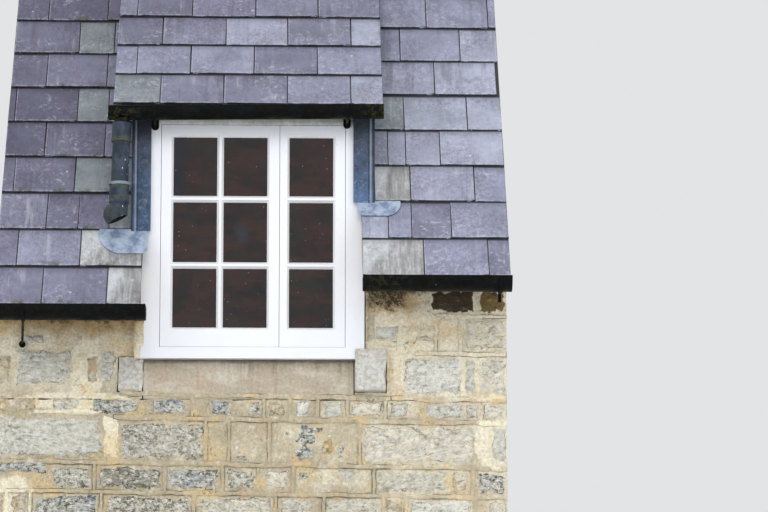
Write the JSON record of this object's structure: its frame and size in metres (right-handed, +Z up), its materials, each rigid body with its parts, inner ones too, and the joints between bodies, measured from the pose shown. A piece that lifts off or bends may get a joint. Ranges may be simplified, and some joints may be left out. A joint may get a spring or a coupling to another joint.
{
  "type": "dormer window",
  "caption": "Small wall dormer with a white casement window, lead-covered corners and a slate catslide roof, set in a section of rubble wall and slate roof.",
  "frame": {"origin": "underside of the wall, in the middle of its thickness and on the centre line of the window opening", "axes": "+X to the right as seen from outside, +Y into the building, +Z up"},
  "size_m": [2.06, 1.8285, 3.3498],
  "materials": {
    "wall_stone": "coursed rubble limestone in cream, tan and blue-grey, with pale mortar",
    "sill_stone": "weathered dressed limestone, darker along its top",
    "pale_stone": "pale pecked limestone with rounded edges",
    "rough_timber": "bare sawn softwood, aged brown",
    "white_paint": "white gloss paint on softwood, slightly soiled",
    "window_glass": "clear window glass in front of a dark room",
    "slate": "riven slate in lavender, purple-grey and green-grey, with lichen",
    "sheet_lead": "weathered sheet lead with a blue-grey patina",
    "black_iron": "near-black painted cast iron, mossy at the ends"
  },
  "bodies": {
    "root": {"wall_below_window": "wall_stone", "wall_left": "wall_stone", "wall_right": "wall_stone", "stone_sill": "sill_stone", "jamb_stone_left": "pale_stone", "jamb_stone_right": "pale_stone", "wall_plates": "rough_timber", "corner_posts": "rough_timber", "head_beam": "rough_timber", "top_trimmer": "rough_timber", "dormer_rafters": "rough_timber", "dormer_roof_boards": "rough_timber", "cheek_left": "rough_timber", "cheek_right": "rough_timber", "main_rafters_left": "rough_timber", "main_rafters_right": "rough_timber", "main_roof_boards_left": "rough_timber", "main_roof_boards_right": "rough_timber", "window_board": "white_paint", "frame_head": "white_paint", "frame_jamb_left": "white_paint", "frame_jamb_right": "white_paint", "frame_sill": "white_paint", "frame_mullion": "white_paint", "sash_left": "white_paint", "sash_right": "white_paint", "glass_left": "window_glass", "glass_right": "window_glass", "dormer_slates": "slate", "main_slates_left": "slate", "main_slates_right": "slate", "cheek_lead_left": "sheet_lead", "cheek_lead_right": "sheet_lead", "lead_strip_left": "sheet_lead", "lead_strip_right": "sheet_lead", "lead_apron_left": "sheet_lead", "lead_apron_right": "sheet_lead", "dormer_gutter": "black_iron", "dormer_gutter_brackets": "black_iron", "downpipe": "black_iron", "downpipe_shoe": "black_iron", "downpipe_bracket": "black_iron", "main_gutter_left": "black_iron", "main_gutter_right": "black_iron", "main_gutter_irons": "black_iron"}
  },
  "joints": []
}
